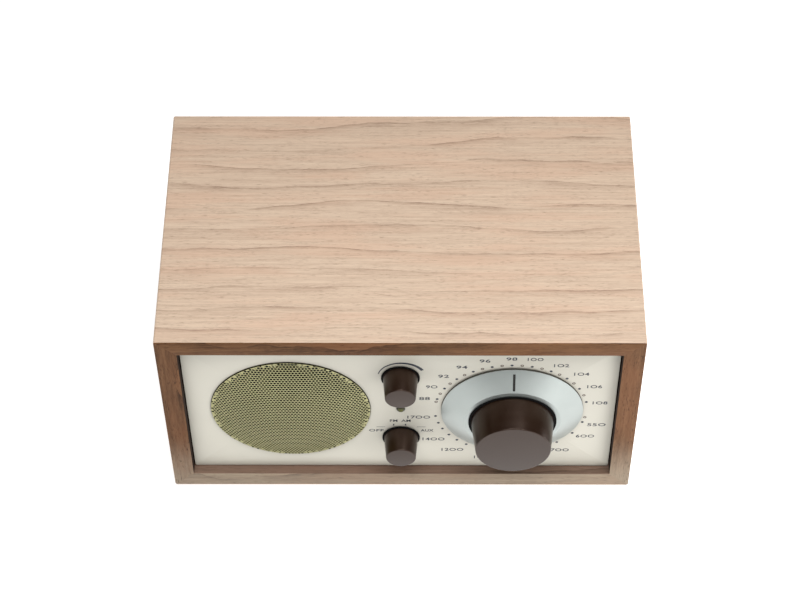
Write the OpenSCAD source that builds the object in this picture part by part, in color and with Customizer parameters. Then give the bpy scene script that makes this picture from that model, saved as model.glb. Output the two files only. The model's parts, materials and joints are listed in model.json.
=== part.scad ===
// Tabletop radio in a mitred wooden cabinet.
// Millimetres, +Z up, front towards -Y. The origin is the middle of the bounding box's underside.
// "depth" is the distance behind the cabinet's front edge; the panel and its knobs use it throughout.

/* [Cabinet] */
// Cabinet width
cab_w = 213; // [160:1:260]
// Cabinet depth, front edge to back edge
cab_d = 131; // [110:1:180]
// Cabinet height without the feet
cab_h = 113; // [100:1:150]
// Thickness of the four wooden panels
wall = 9.5; // [6:0.5:15]
// Rounding of the four long outer edges
edge_r = 1; // [0.5:0.5:4]
// Height of the rubber feet
foot_h = 2; // [1:0.5:8]
// Radius of the rubber feet
foot_r = 7; // [4:0.5:12]

/* [Front panel] */
// Distance of the panel's face behind the cabinet's front edge
recess = 4.4; // [2:0.2:10]
// Thickness of the panel
panel_t = 3; // [2:0.5:5]
// Gap between the panel and the cabinet, all round
panel_gap = 0.5; // [0.2:0.1:1]
// Depth reached by the panel's skirt and corner bosses
skirt_depth = 11; // [9:0.5:14]
// Distance of the corner screws from the cabinet's inner faces
corner_inset = 6.5; // [5:0.5:10]

/* [Speaker] */
// Distance of the speaker's centre left of the middle
speaker_x = 49.7; // [45:0.1:55]
// Radius of the speaker hole
speaker_hole_r = 36.1; // [30:0.1:38]
// Radius of the grille's rim
grille_r = 35.7; // [30:0.1:37.5]
// Height of the grille's rim in front of the panel
grille_rim = 1; // [0.5:0.1:2]
// Height of the grille's middle in front of the panel
grille_apex = 4; // [2:0.1:6]

/* [Controls] */
// Distance of the tuning dial's centre right of the middle
dial_x = 50.2; // [45:0.1:55]
// Radius of the dial disc
dial_r = 32; // [28:0.1:36]
// Outer radius of the dial's flat middle
dial_land_r = 21.8; // [20.5:0.1:26]
// Height of the dial's flat middle in front of the panel
dial_h = 6.6; // [4:0.1:9]
// Radius of the flange at the tuning knob's base
tuner_flange_r = 19.8; // [16:0.1:21]
// Tuning knob radius at its base
tuner_base_r = 18.6; // [15:0.1:20]
// Tuning knob radius at its face
tuner_face_r = 16.8; // [14:0.1:19]
// Height of the tuning knob's face in front of the panel
tuner_h = 22.4; // [16:0.1:28]
// Height of the volume knob's axis above the middle of the panel
volume_up = 24.8; // [22:0.1:28]
// Distance of the selector knob's axis below the middle of the panel
selector_down = 22.2; // [20:0.1:28]
// Radius of the flange at the small knobs' base
knob_flange_r = 8.6; // [8:0.1:11]
// Small knob radius at its base
knob_base_r = 7.8; // [7.5:0.1:10]
// Small knob radius at its face
knob_face_r = 6.8; // [5:0.1:8]
// Height of the small knobs' faces in front of the panel
knob_h = 12; // [9:0.1:18]
// Radius of the power lamp
lamp_r = 2; // [1.5:0.1:3]

/* [Tuning drive] */
// Gear module
gear_module = 0.6; // [0.5:0.05:0.7]
// Teeth of the sun gear on the tuning shaft
sun_teeth = 12; // [12:3:15]
// Teeth of each planet gear
planet_teeth = 18; // [18:3:21]
// Thinning of each gear's teeth at the pitch circle
gear_play = 0.1; // [0.05:0.01:0.15]
// Gear face width
gear_w = 2.9; // [2:0.1:4]

/* [Rear] */
// Depth of the rear panel's outer face
rear_face = 127; // [120:1:128]
// Distance of the bass port left of the middle
port_x = 55; // [40:1:65]
// Height of the bass port above the table
port_z = 80; // [70:1:85]
// Inner radius of the bass port
port_r = 12; // [8:0.5:14]
// Length of the bass port tube
port_len = 55; // [30:1:60]
// Height of the row of sockets above the table
socket_z = 34; // [30:1:40]
// Radius of the audio sockets' bores
jack_r = 1.8; // [1.75:0.05:1.9]
// Length of the aerial socket outside the rear panel
aerial_len = 11; // [8:0.5:12]
// Travel of the aerial slide switch
switch_travel = 4; // [2:0.5:5]

/* [Hidden] */
face = recess;                              // depth of the panel's front face
back = recess + panel_t;                    // depth of the panel's rear face
front_y = -(face - tuner_h + rear_face + aerial_len) / 2;
mid_z = foot_h + cab_h / 2;
in_w = cab_w - 2 * wall;
in_h = cab_h - 2 * wall;
floor_z = foot_h + wall;
roof_z = foot_h + cab_h - wall;
volume_z = mid_z + volume_up;
selector_z = mid_z - selector_down;
corner_x = in_w / 2 - corner_inset;
corner_z = in_h / 2 - corner_inset;
block = 2 * corner_inset;                   // side of the wooden corner blocks
block_len = 12;
rear_t = 3;
rear_in = rear_face - rear_t;
shaft_r = 3;
run = 0.05;                                 // radial clearance of every shaft in its bore
small_face = face - knob_h;                 // depth of the small knobs' faces
tuner_base = face - dial_h - 0.3;
tuner_face = face - tuner_h;
ring_teeth = sun_teeth + 2 * planet_teeth;
orbit_r = gear_module * (sun_teeth + planet_teeth) / 2;
ring_r = gear_module * ring_teeth / 2 + 3.1;
ring_lug_r = ring_r + 1.7;
gear_d0 = back + 3;                         // front of the gears
gear_d1 = gear_d0 + gear_w;
carrier_back = gear_d1 + 1.7;
hub_r = 5.5;
bracket_x = 27;                             // bracket screws, from the dial's axis
bracket_d = back + 9.6;
bracket_t = 1.4;
cap_d0 = bracket_d + bracket_t;             // front of the variable capacitor
cap_len = 20;
cap_pitch = 3.4;
cone_out = 28.6;
basket_d = back + 2.6;                      // seat of the speaker's flange
ear_r = 44;
magnet_d = basket_d + 18;
board_z = floor_z + 6;
board_t = 1.6;
board = [-16, 88, 50, 106];                 // main board: x from, x to, depth from, depth to
rod_z = 95;
rod_d = 60;
trafo = [-60, 87];                          // transformer: x, depth
jack_x = [-6, 12, 30];
switch_x = 58;
aerial_x = 76;
aerial_z = 78;
$fn = 48;

// ---- helpers ----

// Puts local +Z along the depth direction; local +Y then points down.
module at(x, depth, z) translate([x, front_y + depth, z]) rotate([-90, 0, 0]) children();

module rod(x, z, d0, d1, r) at(x, d0, z) cylinder(r = r, h = d1 - d0);

module tube(x, z, d0, d1, r_out, r_in)
    difference() {
        rod(x, z, d0, d1, r_out);
        rod(x, z, d0 - 1, d1 + 1, r_in);
    }

// Turned shape about a depth axis, from points [radius, depth].
module turned(x, z, points) at(x, 0, z) rotate_extrude($fn = 72) polygon(points);

module box(x0, x1, d0, d1, z0, z1) translate([x0, front_y + d0, z0]) cube([x1 - x0, d1 - d0, z1 - z0]);

module plate(w, h, d0, d1, r)
    at(0, d0, mid_z) linear_extrude(d1 - d0) offset(r = r) square([w - 2 * r, h - 2 * r], center = true);

module at_corners() for (sx = [-1, 1], sz = [-1, 1]) translate([sx * corner_x, 0, sz * corner_z]) children();

// Screw with a round head; head_depth is where the head meets the part.
module screw(x, z, tip, head_depth, r, towards = 1) {
    rod(x, z, min(tip, head_depth), max(tip, head_depth), r);
    turned(x, z, [[0, head_depth], [r * 2, head_depth], [r * 2, head_depth + towards * r],
        [r * 1.3, head_depth + towards * r * 1.5], [0, head_depth + towards * r * 1.5]]);
}

// ---- cabinet ----

module mitred(points)
    at(0, 0, mid_z) linear_extrude(cab_d) intersection() {
        polygon(points);
        offset(r = edge_r) square([cab_w - 2 * edge_r, cab_h - 2 * edge_r], center = true);
    }

module rail(s) mitred([[-cab_w / 2, s * cab_h / 2], [cab_w / 2, s * cab_h / 2],
    [in_w / 2, s * in_h / 2], [-in_w / 2, s * in_h / 2]]);

module stile(s) mitred([[s * cab_w / 2, -cab_h / 2], [s * cab_w / 2, cab_h / 2],
    [s * in_w / 2, in_h / 2], [s * in_w / 2, -in_h / 2]]);

module cabinet_top() color("burlywood") rail(-1);
module cabinet_bottom() color("burlywood") rail(1);
module cabinet_left() color("tan") stile(-1);
module cabinet_right() color("tan") stile(1);

module block_row(depth, bore_r)
    for (sx = [-1, 1], sz = [-1, 1]) difference() {
        box(sx * corner_x - block / 2, sx * corner_x + block / 2, depth, depth + block_len,
            mid_z + sz * corner_z - block / 2, mid_z + sz * corner_z + block / 2);
        rod(sx * corner_x, mid_z + sz * corner_z, depth - 1, depth + block_len + 1, bore_r);
    }

// Glued in the cabinet's corners: four behind the front panel and four in front of the rear panel.
module corner_blocks()
    color("peru") {
        block_row(skirt_depth, 1.7);
        block_row(rear_in - block_len, 1.45);
    }

module rubber_feet()
    color("dimgray") for (sx = [-1, 1], sy = [18, cab_d - 18])
        translate([sx * (cab_w / 2 - 18), front_y + sy, 0]) cylinder(r1 = foot_r - 0.6, r2 = foot_r, h = foot_h);

// ---- front panel ----

module lug_places(r, angles) for (a = angles) translate([r * cos(a), 0, r * sin(a)]) children();

module panel_posts(grow, d_top, d_end) {
    at_corners() rod(0, mid_z, d_top, skirt_depth + d_end, 3.5 - grow * 2.25);
    lug_places(ear_r, [45, 135, 225, 315]) rod(-speaker_x, mid_z, d_top, basket_d + d_end, 3 - grow * 1.9);
    lug_places(ring_lug_r, [90, 210, 330]) rod(dial_x, mid_z, d_top, gear_d0 - 0.1 + d_end, 2.4 - grow * 1.4);
    for (s = [-1, 1]) rod(dial_x + s * bracket_x, mid_z, d_top, bracket_d + d_end, 3 - grow * 1.75);
}

module front_panel()
    color("antiquewhite") difference() {
        union() {
            plate(in_w - 2 * panel_gap, in_h - 2 * panel_gap, face, back, 1);
            difference() {
                plate(in_w - 2 * panel_gap, in_h - 2 * panel_gap, back - 1, skirt_depth, 1);
                plate(in_w - 2 * panel_gap - 3.6, in_h - 2 * panel_gap - 3.6, back - 2, skirt_depth + 1, 1);
            }
            panel_posts(0, back - 1, 0);
        }
        panel_posts(1, face + 1.4, 1);
        rod(-speaker_x, mid_z, face - 1, back + 1, speaker_hole_r);
        rod(dial_x, mid_z, face - 1, back + 1, hub_r + run);
        for (z = [volume_z, selector_z]) rod(0, z, face - 1, back + 1, 3.5);
        rod(0, mid_z, face - 1, back + 1, lamp_r + 0.05);
    }

module front_panel_screws()
    color("silver") for (sx = [-1, 1], sz = [-1, 1])
        screw(sx * corner_x, mid_z + sz * corner_z, face + 2, skirt_depth + block_len, 1.2);

module power_lamp()
    color("olive") {
        turned(0, mid_z, [[0, face - 1], [1, face - 0.85], [lamp_r * 0.8, face - 0.5], [lamp_r, face],
            [lamp_r, back], [lamp_r + 0.7, back], [lamp_r + 0.7, back + 1.2], [0, back + 1.2]]);
        for (s = [-1, 1]) rod(s * 1.2, mid_z, back + 1.2, back + 9, 0.3);
    }

// ---- speaker ----

// Point of the grille's cap at radius r, set back by t.
cap_h = grille_apex - grille_rim - 0.3;
cap_sphere = (pow(grille_r - 0.6, 2) + pow(cap_h, 2)) / (2 * cap_h);
function cap_depth(r, t) = face - grille_apex + t + cap_sphere - sqrt(pow(cap_sphere, 2) - pow(r, 2));

module speaker_grille()
    color("darkkhaki") turned(-speaker_x, mid_z, concat(
        [for (i = [0:12]) let (r = i / 12 * (grille_r - 0.6)) [r, cap_depth(r, 0)]],
        [[grille_r, face - grille_rim + 0.3], [grille_r, back], [speaker_hole_r + 3.4, back],
            [speaker_hole_r + 3.4, back + 0.6], [grille_r - 0.8, back + 0.6], [grille_r - 0.8, face]],
        [for (i = [12:-1:0]) let (r = i / 12 * (grille_r - 1.2)) [r, cap_depth(r, 0.8)]]));

module speaker_gasket() color("black") tube(-speaker_x, mid_z, back + 0.6, basket_d - 0.4, 39.5, 34.6);

function roll(r, a) = [31.5 + r * cos(a), basket_d - r * sin(a)];

module speaker_surround()
    color("black") turned(-speaker_x, mid_z, concat(
        [[39.5, basket_d], [39.5, basket_d - 0.4], [34, basket_d - 0.4]],
        [for (a = [10:20:170]) roll(2.5, a)],
        [[27.5, basket_d - 0.4], [27.5, basket_d]],
        [for (a = [175:-17:5]) roll(2.1, a)]));

module speaker_cone()
    color("dimgray") turned(-speaker_x, mid_z, [[cone_out, basket_d], [cone_out, basket_d + 0.4],
        [27.4, basket_d + 0.6], [10.5, basket_d + 12.6], [10, basket_d + 12.6], [10, basket_d + 12],
        [27, basket_d]]);

module dust_cap()
    color("gray") turned(-speaker_x, mid_z, concat(
        [for (i = [0:6]) [10.6 * sin(i * 15), basket_d + 11 - 3.4 * cos(i * 15)]],
        [for (i = [6:-1:0]) [10.1 * sin(i * 15), basket_d + 11.2 - 3.1 * cos(i * 15)]]));

module spider()
    color("khaki") turned(-speaker_x, mid_z, concat(
        [for (i = [0:12]) [10.1 + i * 1.08, basket_d + 14.4 + (i % 2) * 0.8]],
        [for (i = [12:-1:0]) [10.1 + i * 1.08, basket_d + 14.8 + (i % 2) * 0.8]]));

module voice_coil()
    color("orangered") turned(-speaker_x, mid_z, [[9.6, basket_d + 12.2], [9.9, basket_d + 12.2],
        [9.9, magnet_d + 1], [10.4, magnet_d + 1], [10.4, magnet_d + 5], [9.6, magnet_d + 5]]);

module speaker_basket()
    color("silver") difference() {
        union() {
            turned(-speaker_x, mid_z, [[40, basket_d], [40, basket_d + 1.2], [36.6, basket_d + 1.2],
                [26, magnet_d - 1.4], [26, magnet_d], [14, magnet_d], [14, magnet_d - 1.2],
                [24.6, magnet_d - 1.2], [24.6, magnet_d - 2], [35.4, basket_d + 1.2], [34, basket_d]]);
            lug_places(ear_r, [45, 135, 225, 315]) rod(-speaker_x, mid_z, basket_d, basket_d + 1.2, 4);
            lug_places(41, [45, 135, 225, 315]) rod(-speaker_x, mid_z, basket_d, basket_d + 1.2, 4);
        }
        rod(-speaker_x, mid_z, basket_d - 1, basket_d + 2, 34);
        lug_places(ear_r, [45, 135, 225, 315]) rod(-speaker_x, mid_z, basket_d - 1, basket_d + 2, 1.5);
        for (a = [45:90:315]) translate([-speaker_x, front_y + basket_d + 2.6, mid_z]) rotate([0, a, 0])
            translate([22, 0, -11]) cube([20, 11, 22]);
    }

module top_plate() color("silver") tube(-speaker_x, mid_z, magnet_d, magnet_d + 4, 27, 10.8);
module speaker_magnet() color("dimgray") tube(-speaker_x, mid_z, magnet_d + 4, magnet_d + 16, 30, 15);

module speaker_yoke()
    color("silver") {
        rod(-speaker_x, mid_z, magnet_d + 16, magnet_d + 20, 27);
        rod(-speaker_x, mid_z, magnet_d, magnet_d + 16.5, 9.2);
    }

module speaker_screws()
    color("silver") lug_places(ear_r, [45, 135, 225, 315])
        screw(-speaker_x, mid_z, face + 2, basket_d + 1.2, 1.05);

// ---- small knobs and their controls ----

module small_knob(z)
    turned(0, z, [[3 + run / 2, small_face + 3.4], [0, small_face + 3.4], [0, small_face],
        [knob_face_r - 0.5, small_face], [knob_face_r, small_face + 0.5], [knob_base_r, face - 0.8],
        [knob_flange_r, face - 0.8], [knob_flange_r, face - 0.4], [knob_base_r - 1.9, face - 0.4],
        [knob_base_r - 1.9, face - 3.2], [3 + run / 2, face - 3.2]]);

module control_shaft(z)
    color("silver") {
        rod(0, z, small_face + 3.6, back + 2.1, shaft_r);
        rod(0, z, back + 2, back + 4.4, 6.4);
    }

// Body with a chamber for the rotor, a bushing through the panel and a row of solder lugs.
module control_body(z, sides, r, lugs) {
    difference() {
        union() {
            at(0, back, z) rotate(180 / sides) cylinder(r = r, h = 8.6, $fn = sides);
            rod(0, z, face - 2.4, back + 0.5, 3.45);
        }
        rod(0, z, face - 3, back + 2, shaft_r + run);
        rod(0, z, back + 1.6, back + 4.8, 6.8);
    }
    for (i = [0:lugs - 1]) let (x = (i - (lugs - 1) / 2) * 3.6)
        box(x - 0.6, x + 0.6, back + 5.6, back + 6.2, z - r - 4, z - r * 0.86);
}

module control_nuts()
    color("silver") for (z = [volume_z, selector_z]) difference() {
        at(0, face - 2, z) cylinder(r = 5.2, h = 2, $fn = 6);
        rod(0, z, face - 3, face + 1, 3.5);
    }

module volume_knob() color("saddlebrown") small_knob(volume_z);
module volume_shaft() control_shaft(volume_z);
module volume_control() color("slategray") control_body(volume_z, 48, 8.5, 3);
module selector_knob() color("saddlebrown") small_knob(selector_z);
module selector_shaft() control_shaft(selector_z);
module selector_switch() color("tan") control_body(selector_z, 8, 9.6, 5);

// ---- tuning knob, dial and drive ----

module tuning_knob()
    color("saddlebrown") turned(dial_x, mid_z, [[0, tuner_face], [tuner_face_r - 0.5, tuner_face],
        [tuner_face_r, tuner_face + 0.5], [tuner_base_r, tuner_base - 0.4],
        [tuner_flange_r, tuner_base - 0.4], [tuner_flange_r, tuner_base],
        [tuner_base_r - 1.8, tuner_base], [tuner_face_r - 1.8, tuner_face + 4],
        [7, tuner_face + 4], [6, tuner_base], [shaft_r + run / 2, tuner_base],
        [shaft_r + run / 2, tuner_face + 4], [0, tuner_face + 4]]);

module tuning_shaft()
    color("silver") {
        rod(dial_x, mid_z, tuner_face + 4.2, gear_d0 - 0.2, shaft_r);
        rod(dial_x, mid_z, gear_d0 - 0.5, gear_d1 + 0.1, 2);
    }

module tuning_dial()
    color("gainsboro") turned(dial_x, mid_z, [[dial_r, face - 0.3], [dial_r, face - 1.2],
        [dial_land_r, face - dial_h], [shaft_r + run, face - dial_h], [shaft_r + run, gear_d0 - 0.4],
        [4.5, gear_d0 - 0.4], [4.5, back + 0.8], [hub_r, back + 0.8], [hub_r, face - dial_h + 1.2],
        [dial_land_r - 0.4, face - dial_h + 1.2], [dial_r - 1.6, face - 0.3]]);

function inv(a) = tan(a) * 180 / PI - a;
function half_tooth(n, r, play) = let (base = n * gear_module / 2 * cos(20))
    90 / n - play / (n * gear_module) * 180 / PI + inv(20) - inv(acos(base / max(r, base)));

// Involute gear outline with a tooth centred on +X.
module gear_2d(n, root, tip, play) {
    rs = [for (i = [0:5]) root + (tip - root) * i / 5];
    polygon([for (k = [0:n - 1], side = [-1, 1], i = [0:5])
        let (r = rs[side < 0 ? i : 5 - i], a = k * 360 / n + side * half_tooth(n, r, play))
        [r * cos(a), r * sin(a)]]);
}

module spur_gear(n, bore_r)
    difference() {
        linear_extrude(gear_w) gear_2d(n, gear_module * (n / 2 - 1), gear_module * (n / 2 + 0.8), gear_play);
        translate([0, 0, -1]) cylinder(r = bore_r, h = gear_w + 2, $fn = 24);
    }

module sun_gear() color("gold") at(dial_x, gear_d0, mid_z) spur_gear(sun_teeth, 2.02);

// A planet stands a half tooth round from the sun, at the places where the three mesh with both gears.
module planet(k)
    color("gold") at(dial_x, gear_d0, mid_z) rotate(k * 120) translate([orbit_r, 0, 0])
        rotate(-k * 120 + 180 / planet_teeth) spur_gear(planet_teeth, 1 + run);

module planet_gear_1() planet(0);
module planet_gear_2() planet(1);
module planet_gear_3() planet(2);

module ring_gear()
    color("goldenrod") difference() {
        union() {
            rod(dial_x, mid_z, gear_d0 - 0.1, gear_d1 + 0.1, ring_r);
            lug_places(ring_lug_r, [90, 210, 330]) rod(dial_x, mid_z, gear_d0 - 0.1, gear_d1 + 0.1, 2.8);
        }
        at(dial_x, gear_d0 - 1, mid_z) rotate(180 / ring_teeth) linear_extrude(gear_w + 2)
            gear_2d(ring_teeth, gear_module * (ring_teeth / 2 - 0.8), gear_module * (ring_teeth / 2 + 1),
                -gear_play);
        lug_places(ring_lug_r, [90, 210, 330]) rod(dial_x, mid_z, gear_d0 - 1, gear_d1 + 1, 1.1);
    }

module gear_screws()
    color("silver") lug_places(ring_lug_r, [90, 210, 330])
        screw(dial_x, mid_z, face + 2, gear_d1 + 0.1, 0.95);

module planet_carrier()
    color("silver") {
        tube(dial_x, mid_z, back + 1.2, gear_d0 - 0.4, 12.5, 4.52);
        tube(dial_x, mid_z, gear_d1 + 0.4, carrier_back, 12, 2.5);
        for (k = [0:2]) at(dial_x, gear_d0 - 0.5, mid_z) rotate(k * 120) translate([orbit_r, 0, 0])
            cylinder(r = 1, h = gear_w + 1, $fn = 24);
    }

module half_plate(d, r_in, r_out, s)
    difference() {
        tube(dial_x, mid_z, d, d + 0.8, r_out, r_in);
        box(dial_x + (s < 0 ? 0 : -20), dial_x + (s < 0 ? 20 : 0), d - 1, d + 2, mid_z - 20, mid_z + 20);
    }

module capacitor_rotor()
    color("lightsteelblue") {
        rod(dial_x, mid_z, gear_d1 + 0.5, cap_d0 + cap_len + 0.8, 2);
        rod(dial_x, mid_z, gear_d1 + 0.5, carrier_back, 2.48);
        rod(dial_x, mid_z, cap_d0 + 2, cap_d0 + cap_len - 2, 3.4);
        for (i = [0:3]) half_plate(cap_d0 + 3 + i * cap_pitch, 3, 11, 1);
    }

module capacitor_stator()
    color("lightsteelblue") {
        for (i = [0:3]) half_plate(cap_d0 + 4.7 + i * cap_pitch, 4.2, 13.6, -1);
        for (s = [-1, 1]) rod(dial_x - 8.6, mid_z + s * 9, cap_d0 + 1.2, cap_d0 + cap_len - 1.2, 0.9);
    }

module capacitor_frame()
    color("silver") difference() {
        union() {
            for (d = [cap_d0, cap_d0 + cap_len - 1.2])
                box(dial_x - 15, dial_x + 15, d, d + 1.2, mid_z - 15, mid_z + 15);
            for (z = [mid_z - 15, mid_z + 13.8])
                box(dial_x - 15, dial_x + 15, cap_d0, cap_d0 + cap_len, z, z + 1.2);
        }
        rod(dial_x, mid_z, cap_d0 - 1, cap_d0 + cap_len + 1, 2 + run);
    }

module tuning_bracket()
    color("silver") difference() {
        box(dial_x - bracket_x - 5, dial_x + bracket_x + 5, bracket_d, cap_d0, mid_z - 8, mid_z + 8);
        rod(dial_x, mid_z, bracket_d - 1, cap_d0 + 1, 5);
        for (s = [-1, 1]) rod(dial_x + s * bracket_x, mid_z, bracket_d - 1, cap_d0 + 1, 1.5);
    }

module bracket_screws()
    color("silver") for (s = [-1, 1]) screw(dial_x + s * bracket_x, mid_z, face + 3, cap_d0, 1.2);

// ---- electronics ----

module at_board_holes()
    for (x = [board[0] + 5, board[1] - 5], d = [board[2] + 5, board[3] - 5])
        translate([x, front_y + d, 0]) children();

module main_board()
    color("darkgreen") difference() {
        box(board[0], board[1], board[2], board[3], board_z, board_z + board_t);
        at_board_holes() translate([0, 0, board_z - 1]) cylinder(r = 1.7, h = 4);
    }

module board_posts()
    color("silver") at_board_holes() difference() {
        translate([0, 0, floor_z]) cylinder(r = 3, h = 6);
        translate([0, 0, floor_z + 1]) cylinder(r = 1.3, h = 6);
    }

module board_screws()
    color("silver") at_board_holes() {
        translate([0, 0, board_z - 4]) cylinder(r = 1.25, h = 4 + board_t + 0.1);
        translate([0, 0, board_z + board_t]) cylinder(r1 = 2.6, r2 = 2, h = 1.6);
    }

// Shield can, wireless module, three chips and a row of capacitors standing on the board.
module board_parts() {
    top = board_z + board_t;
    color("silver") box(42, 74, 58, 84, top, top + 9);
    color("silver") box(14, 34, 54, 68, top, top + 3);
    for (x = [-6, 12, 30]) color("black") box(x, x + 9, 76, 84, top, top + 2);
    for (i = [0:4]) color("navy") translate([-4 + i * 11, front_y + 96, top]) cylinder(r = 4, h = 9 + i % 2 * 5);
}

module heat_sink()
    color("gray") {
        box(54, 78, 90, 92.5, board_z + board_t, board_z + board_t + 24);
        for (i = [0:5]) box(54 + i * 4.4, 56 + i * 4.4, 92, 99, board_z + board_t, board_z + board_t + 24);
    }

module transformer_core()
    color("dimgray") {
        difference() {
            box(trafo[0] - 24, trafo[0] + 24, trafo[1] - 10, trafo[1] + 10, floor_z, floor_z + 40);
            for (s = [-1, 1]) box(trafo[0] + s * 12 - 4, trafo[0] + s * 12 + 4, trafo[1] - 11, trafo[1] + 11,
                floor_z + 8, floor_z + 32);
        }
        for (s = [-1, 1]) box(trafo[0] + s * 27 - 3.5, trafo[0] + s * 27 + 3.5, trafo[1] - 6, trafo[1] + 6,
            floor_z, floor_z + 1.5);
    }

module transformer_coil()
    color("darkgoldenrod") difference() {
        box(trafo[0] - 15.5, trafo[0] + 15.5, trafo[1] - 18, trafo[1] + 18, floor_z + 8.5, floor_z + 31.5);
        box(trafo[0] - 8.2, trafo[0] + 8.2, trafo[1] - 10.2, trafo[1] + 10.2, floor_z + 8, floor_z + 32);
    }

module along_x(x0, x1) translate([x0, front_y + rod_d, rod_z]) rotate([0, 90, 0]) children();

module ferrite_rod()
    color("dimgray") {
        along_x(-50) cylinder(r = 5, h = 100);
        for (x = [-42, 38]) box(x, x + 4, rod_d - 6, rod_d + 6, rod_z, roof_z);
    }

module aerial_coil()
    color("orangered") for (x = [-26, 12]) along_x(x) difference() {
        cylinder(r = 6.4, h = 16);
        translate([0, 0, -1]) cylinder(r = 5.05, h = 18);
    }

// ---- rear ----

// Room for the switch lever to slide in: half width and half height round it, over its whole travel.
module switch_room(w, h, d0, d1)
    box(switch_x - w, switch_x + w + switch_travel, d0, d1, socket_z - h, socket_z + h);

module rear_panel()
    color("dimgray") difference() {
        plate(in_w - 0.6, in_h - 0.6, rear_in, rear_face, 1);
        for (sx = [-1, 1], sz = [-1, 1])
            rod(sx * corner_x, mid_z + sz * corner_z, rear_in - 1, rear_face + 1, 1.7);
        rod(-port_x, port_z, rear_in - 1, rear_face + 1, port_r + 2.05);
        box(-port_x - 14.05, -port_x + 14.05, rear_in - 1, rear_face + 1, socket_z - 8.05, socket_z + 8.05);
        for (x = jack_x) rod(x, socket_z, rear_in - 1, rear_face + 1, 4.05);
        rod(aerial_x, aerial_z, rear_in - 1, rear_face + 1, 4.75);
        switch_room(3, 2.2, rear_in - 1, rear_face + 1);
    }

module rear_screws()
    color("silver") for (sx = [-1, 1], sz = [-1, 1])
        screw(sx * corner_x, mid_z + sz * corner_z, rear_in - 9, rear_face, 1.4);

module bass_port()
    color("black") turned(-port_x, port_z, [[port_r, rear_face - port_len], [port_r + 2, rear_face - port_len],
        [port_r + 2, rear_face], [port_r + 4, rear_face], [port_r + 4, rear_face + 1],
        [port_r + 1.2, rear_face + 1], [port_r, rear_face - 0.6]]);

module mains_inlet() {
    color("black") difference() {
        union() {
            box(-port_x - 14, -port_x + 14, rear_in - 14, rear_face, socket_z - 8, socket_z + 8);
            box(-port_x - 17, -port_x + 17, rear_face, rear_face + 1.5, socket_z - 11, socket_z + 11);
        }
        box(-port_x - 9, -port_x + 9, rear_in - 11, rear_face + 2, socket_z - 5, socket_z + 5);
    }
    color("silver") for (s = [-1, 1]) rod(-port_x + s * 4.3, socket_z, rear_in - 11.5, rear_face - 1, 1.2);
}

module audio_sockets()
    color("black") for (x = jack_x) difference() {
        union() {
            box(x - 5, x + 5, rear_in - 13, rear_in, socket_z - 5, socket_z + 5);
            rod(x, socket_z, rear_in - 1, rear_face + 1.2, 4);
        }
        rod(x, socket_z, rear_in - 11, rear_face + 2, jack_r);
    }

module aerial_socket()
    color("silver") difference() {
        union() {
            rod(aerial_x, aerial_z, rear_in - 9, rear_face + aerial_len, 4.7);
            at(aerial_x, rear_face, aerial_z) cylinder(r = 7, h = 2, $fn = 6);
            at(aerial_x, rear_in - 2.5, aerial_z) cylinder(r = 7, h = 2.5, $fn = 6);
        }
        rod(aerial_x, aerial_z, rear_face + 2, rear_face + aerial_len + 1, 0.6);
    }

module aerial_switch()
    color("silver") {
        difference() {
            switch_room(7.5, 4.6, rear_in - 6, rear_in);
            switch_room(5.3, 3.1, rear_in - 4, rear_in - 1);
            switch_room(3, 2.2, rear_in - 2, rear_in + 1);
        }
        for (i = [0:2]) box(switch_x - 3 + i * 4.5, switch_x - 2 + i * 4.5, rear_in - 10, rear_in - 5.5,
            socket_z - 1, socket_z + 1);
    }

module aerial_switch_lever()
    color("black") {
        box(switch_x - 2.5, switch_x + 2.5, rear_in - 2, rear_face + 2, socket_z - 1.9, socket_z + 1.9);
        box(switch_x - 5, switch_x + 5, rear_in - 3.7, rear_in - 1.3, socket_z - 2.8, socket_z + 2.8);
    }

cabinet_top();
cabinet_bottom();
cabinet_left();
cabinet_right();
corner_blocks();
front_panel();
front_panel_screws();
speaker_grille();
speaker_gasket();
speaker_basket();
speaker_surround();
speaker_cone();
dust_cap();
spider();
voice_coil();
top_plate();
speaker_magnet();
speaker_yoke();
speaker_screws();
power_lamp();
volume_knob();
volume_shaft();
volume_control();
selector_knob();
selector_shaft();
selector_switch();
control_nuts();
tuning_knob();
tuning_shaft();
sun_gear();
planet_gear_1();
planet_gear_2();
planet_gear_3();
ring_gear();
gear_screws();
planet_carrier();
tuning_dial();
capacitor_rotor();
capacitor_stator();
capacitor_frame();
tuning_bracket();
bracket_screws();
main_board();
board_posts();
board_screws();
board_parts();
heat_sink();
transformer_core();
transformer_coil();
ferrite_rod();
aerial_coil();
rear_panel();
rear_screws();
bass_port();
mains_inlet();
audio_sockets();
aerial_socket();
aerial_switch();
aerial_switch_lever();
rubber_feet();
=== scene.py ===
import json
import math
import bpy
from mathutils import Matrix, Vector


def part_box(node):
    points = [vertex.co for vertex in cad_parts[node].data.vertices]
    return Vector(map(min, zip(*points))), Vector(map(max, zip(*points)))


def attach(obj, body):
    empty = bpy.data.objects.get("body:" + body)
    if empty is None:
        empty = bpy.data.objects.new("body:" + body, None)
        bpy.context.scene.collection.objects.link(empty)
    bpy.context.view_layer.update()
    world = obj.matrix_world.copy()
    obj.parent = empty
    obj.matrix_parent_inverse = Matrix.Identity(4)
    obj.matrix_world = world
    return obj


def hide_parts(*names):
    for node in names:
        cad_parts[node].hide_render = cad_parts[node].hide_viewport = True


bl_info = {
    "name": "Tabletop Radio",
    "version": (1, 0, 0),
    "blender": (4, 5, 0),
    "location": "3D View > Sidebar > Radio",
    "description": "Finishes a tabletop radio: veneered cabinet, perforated grille, printed scales",
    "category": "Object",
}

import bmesh
import bpy
from mathutils import Matrix, Vector

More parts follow.
